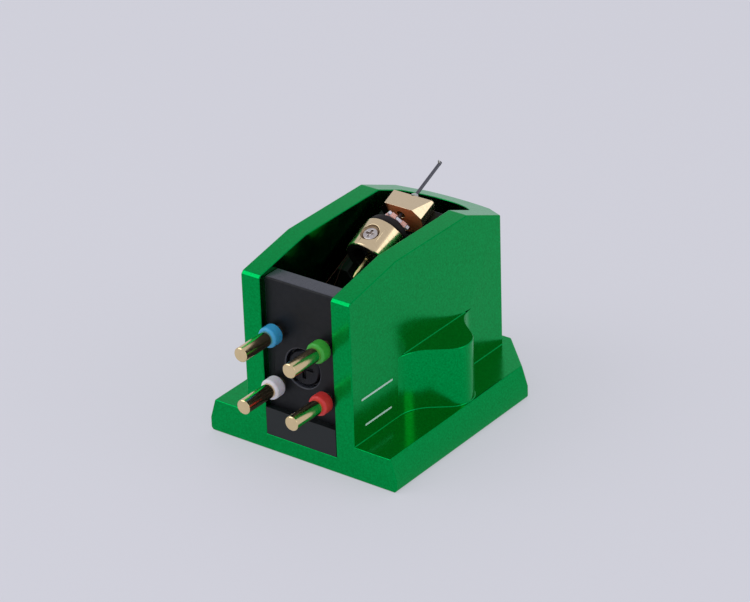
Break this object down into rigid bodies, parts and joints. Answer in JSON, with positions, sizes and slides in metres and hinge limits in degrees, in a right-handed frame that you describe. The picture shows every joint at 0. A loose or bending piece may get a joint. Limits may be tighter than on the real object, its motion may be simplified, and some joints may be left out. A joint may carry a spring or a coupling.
{
  "type": "turntable stylus cartridge",
  "caption": "Moving coil phono cartridge: a green anodised body with side screw bosses, coloured terminal pins behind and an open stylus generator.",
  "frame": {"origin": "midway between the two mounting holes, on the mounting face", "axes": "+Y from the terminal pins towards the stylus, +Z away from the headshell towards the record, as it stands in the picture, X across"},
  "size_m": [0.018, 0.0259, 0.0182],
  "materials": {
    "green_anodised": "satin machined and green anodised",
    "block_black": "matt black moulded plastic",
    "plate_black": "matt black plastic, bare",
    "screw_black": "black oxide",
    "yoke_gold": "gold-plated, polished",
    "screw_steel": "plain steel",
    "magnet_grey": "ground magnet",
    "former_white": "white moulded plastic",
    "coil_copper": "enamelled copper wire",
    "damper_rubber": "black rubber",
    "pin_gold": "gold-plated brass",
    "cantilever_grey": "dark grey drawn rod",
    "stone": "ground stone",
    "bracket_dark": "dark anodised",
    "lead_copper": "enamelled copper wire",
    "collar_white": "coloured plastic",
    "collar_blue": "coloured plastic",
    "collar_red": "coloured plastic",
    "collar_green": "coloured plastic"
  },
  "bodies": {
    "cartridge": {"body": "green_anodised", "bracket_screw": "screw_black", "collar_blue": "collar_blue", "collar_green": "collar_green", "collar_red": "collar_red", "collar_white": "collar_white", "damper": "damper_rubber", "front_yoke": "yoke_gold", "generator_bracket": "bracket_dark", "label_plate": "plate_black", "lead_left_live": "lead_copper", "lead_left_return": "lead_copper", "lead_right_live": "lead_copper", "lead_right_return": "lead_copper", "pin_left_live": "pin_gold", "pin_left_return": "pin_gold", "pin_right_live": "pin_gold", "pin_right_return": "pin_gold", "pole_magnet": "magnet_grey", "rear_yoke": "yoke_gold", "terminal_block": "block_black", "terminal_screw": "screw_black", "wire_ferrule": "pin_gold", "yoke_screw": "screw_steel"},
    "tie_wire": {"tie_wire": "screw_steel"},
    "stylus_assembly": {"cantilever": "cantilever_grey", "stylus": "stone", "coil_former": "former_white", "coil_left": "coil_copper", "coil_right": "coil_copper"}
  },
  "joints": [
    {"name": "stylus_lift", "type": "hinge", "parent": "cartridge", "child": "tie_wire", "pos_m": [0, 0.00112, 0.01469], "axis": [1, 0, 0], "range_deg": [-2, 2], "stiffness_Nm_per_rad": 0.005},
    {"name": "stylus_swing", "type": "hinge", "parent": "tie_wire", "child": "stylus_assembly", "pos_m": [0, 0.00112, 0.01469], "axis": [0, -0.3987, 0.9171], "range_deg": [-2, 2], "stiffness_Nm_per_rad": 0.005}
  ]
}
